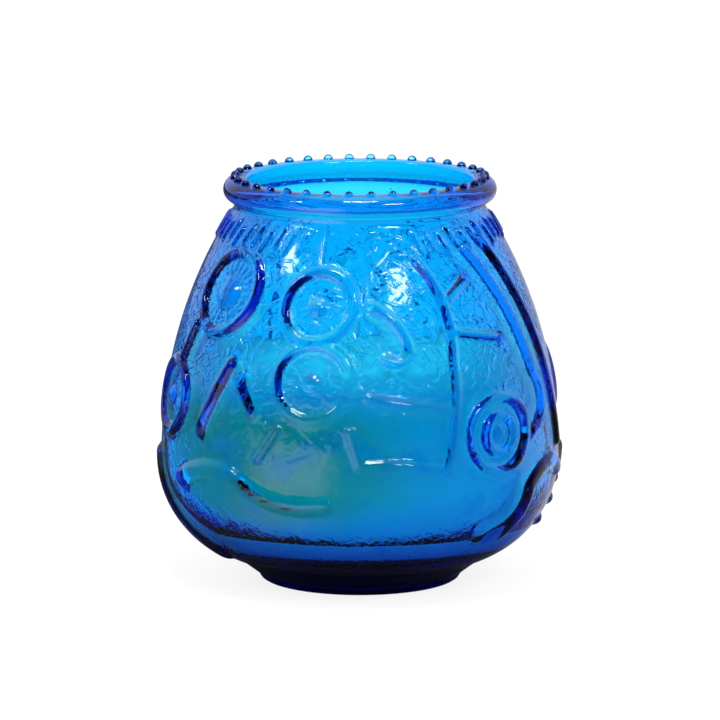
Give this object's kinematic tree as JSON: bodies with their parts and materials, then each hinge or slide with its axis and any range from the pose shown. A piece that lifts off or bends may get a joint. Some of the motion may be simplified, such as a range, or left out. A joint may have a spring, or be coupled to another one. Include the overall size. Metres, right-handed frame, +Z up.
{
  "type": "glass jar candle lantern",
  "caption": "Round-bellied pressed glass jar with a beaded rim and raised rings and bars, part filled with candle wax around a tabbed wick.",
  "frame": {"origin": "centre of the foot, on the surface that the jar stands on", "axes": "+Z up along the jar's axis, out of the mouth; -Y is the front that the picture shows; +X is to the right of it"},
  "size_m": [0.1024, 0.1022, 0.1028],
  "materials": {
    "blue_glass": "pressed clear blue glass, fire-polished",
    "candle_wax": "ivory paraffin wax",
    "wick_cotton": "waxed cotton braid",
    "wick_paper": "twisted paper core",
    "tab_metal": "tinned sheet steel",
    "tab_adhesive": "pale hot-melt adhesive"
  },
  "bodies": {
    "root": {"glass_jar": "blue_glass", "wax_fill": "candle_wax", "wick_braid": "wick_cotton", "wick_core": "wick_paper", "wick_tab": "tab_metal", "adhesive_dot": "tab_adhesive"}
  },
  "joints": []
}
